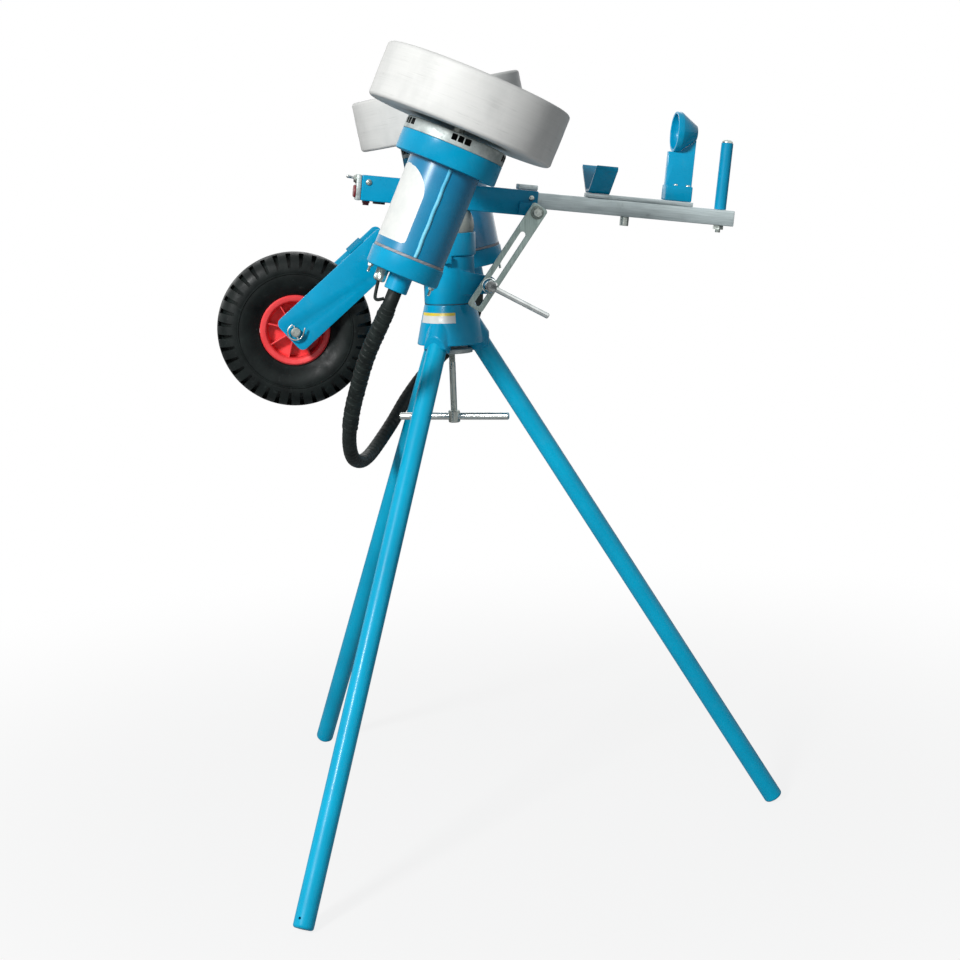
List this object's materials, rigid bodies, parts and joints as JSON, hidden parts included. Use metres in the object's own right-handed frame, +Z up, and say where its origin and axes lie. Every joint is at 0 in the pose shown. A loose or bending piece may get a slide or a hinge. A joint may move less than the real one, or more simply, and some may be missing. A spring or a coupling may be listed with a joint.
{
  "type": "football throwing machine",
  "caption": "Football throwing machine: inclined motor-driven wheels on a pitched beam with a feeding tray, cradle and pusher cup, over a swivelling tripod with a transport wheel",
  "frame": {"origin": "on the floor, under the middle of the outline without the wiring hose", "axes": "+Z up, the feeding tray toward +X, thrown toward -X, the tripod's front leg toward -Y"},
  "size_m": [0.9154, 0.9344, 1.2797],
  "materials": {
    "blue_paint": "gloss sky-blue paint",
    "grey_casting": "sand-cast, dull grey",
    "aluminium_bar": "drawn, satin",
    "bright_steel": "bright zinc and chrome",
    "black_plastic": "matt black",
    "black_rubber": "matt black rubber",
    "tyre_rubber": "black lugged tyre",
    "white_rubber": "off-white urethane, matt",
    "red_rim": "moulded red plastic",
    "dark_red": "dark red plastic"
  },
  "bodies": {
    "stand": {"leg_right": "blue_paint", "leg_front": "blue_paint", "leg_rear": "blue_paint", "tripod_cone": "blue_paint", "base_disc": "grey_casting"},
    "t_handle": {"clamp_rod": "bright_steel", "t_bar": "bright_steel"},
    "swivel": {"swivel_housing": "blue_paint", "elevation_stud": "bright_steel", "ball_cup": "blue_paint", "fork_plate_near": "blue_paint", "fork_plate_far": "blue_paint", "fork_bridge": "blue_paint", "fork_bolt": "bright_steel", "wheel_axle": "bright_steel"},
    "transport_wheel": {"transport_tyre": "tyre_rubber", "transport_rim": "red_rim"},
    "lever": {"elevation_lever": "bright_steel"},
    "head": {"swivel_ball": "grey_casting", "main_beam": "blue_paint", "arm_frame": "blue_paint", "mount_ring_near": "blue_paint", "mount_ring_far": "blue_paint", "end_bell_near": "grey_casting", "end_bell_far": "grey_casting", "motor_body_near": "blue_paint", "motor_body_far": "blue_paint", "motor_gasket_near": "grey_casting", "motor_gasket_far": "grey_casting", "motor_cap_near": "blue_paint", "motor_cap_far": "blue_paint", "cable_gland_near": "bright_steel", "cable_gland_far": "bright_steel", "tray_tube": "aluminium_bar", "carriage_stop": "grey_casting", "control_panel": "aluminium_bar", "fuse_holder": "dark_red", "aim_handle": "blue_paint", "aim_handle_bolt": "bright_steel", "link_bracket": "blue_paint", "pivot_bolt": "bright_steel", "hose_sleeve_near": "black_rubber", "hose_sleeve_far": "black_rubber", "wiring_hose": "black_rubber", "motor_lead": "black_plastic"},
    "link": {"elevation_link": "aluminium_bar"},
    "throwing_wheel_near": {"wheel_tyre_near": "white_rubber", "wheel_hub_near": "aluminium_bar", "motor_shaft_near": "bright_steel"},
    "throwing_wheel_far": {"wheel_tyre_far": "white_rubber", "wheel_hub_far": "aluminium_bar", "motor_shaft_far": "bright_steel"},
    "carriage": {"slider_plate": "aluminium_bar", "v_cradle": "blue_paint", "cup_post": "blue_paint", "pusher_cup": "blue_paint", "guide_stud": "bright_steel"},
    "toggle": {"power_toggle": "bright_steel"},
    "dial_near": {"speed_dial_near": "dark_red"},
    "dial_far": {"speed_dial_far": "dark_red"}
  },
  "joints": [
    {"name": "clamp_turn", "type": "hinge", "parent": "stand", "child": "t_handle", "pos_m": [-0.07918, -0.01955, 0.691], "axis": [0, 0, 1], "range_deg": [0, 360]},
    {"name": "swivel", "type": "hinge", "parent": "stand", "child": "swivel", "pos_m": [-0.07918, -0.01955, 0.8778], "axis": [0, 0, 1], "range_deg": [0, 30]},
    {"name": "transport_wheel_spin", "type": "hinge", "parent": "swivel", "child": "transport_wheel", "pos_m": [-0.33318, -0.01955, 0.847], "axis": [0, 1, 0], "continuous": true},
    {"name": "lever_turn", "type": "hinge", "parent": "swivel", "child": "lever", "pos_m": [-0.02058, -0.07515, 0.907], "axis": [0, -1, 0], "range_deg": [0, 180]},
    {"name": "elevation", "type": "hinge", "parent": "swivel", "child": "head", "pos_m": [-0.07918, -0.01955, 1.0031], "axis": [0, 1, 0], "range_deg": [0, 15]},
    {"name": "link_pivot", "type": "hinge", "parent": "head", "child": "link", "pos_m": [0.06052, -0.07205, 1.0199], "axis": [0, 1, 0], "range_deg": [-4.4, 0.1]},
    {"name": "throwing_wheel_near_spin", "type": "hinge", "parent": "head", "child": "throwing_wheel_near", "pos_m": [-0.06177, -0.24155, 1.1884], "axis": [0.4131, 0, 0.9107], "continuous": true},
    {"name": "throwing_wheel_far_spin", "type": "hinge", "parent": "head", "child": "throwing_wheel_far", "pos_m": [-0.06177, 0.20245, 1.1884], "axis": [-0.1668, 0, 0.986], "continuous": true},
    {"name": "carriage_slide", "type": "slide", "parent": "head", "child": "carriage", "axis": [-0.9917, 0, 0.1288], "range_m": [0, 0.08]},
    {"name": "toggle_flip", "type": "hinge", "parent": "head", "child": "toggle", "pos_m": [-0.2187, -0.01955, 1.08223], "axis": [0, 1, 0], "range_deg": [-20, 0]},
    {"name": "speed_near_turn", "type": "hinge", "parent": "head", "child": "dial_near", "pos_m": [-0.22533, -0.03035, 1.06343], "axis": [-0.9917, 0, 0.1288], "range_deg": [0, 270]},
    {"name": "speed_far_turn", "type": "hinge", "parent": "head", "child": "dial_far", "pos_m": [-0.22533, -0.00875, 1.06343], "axis": [-0.9917, 0, 0.1288], "range_deg": [0, 270]}
  ],
  "couplings": [
    {"joint": "link_pivot", "follows": "elevation", "ratio": -0.28}
  ]
}
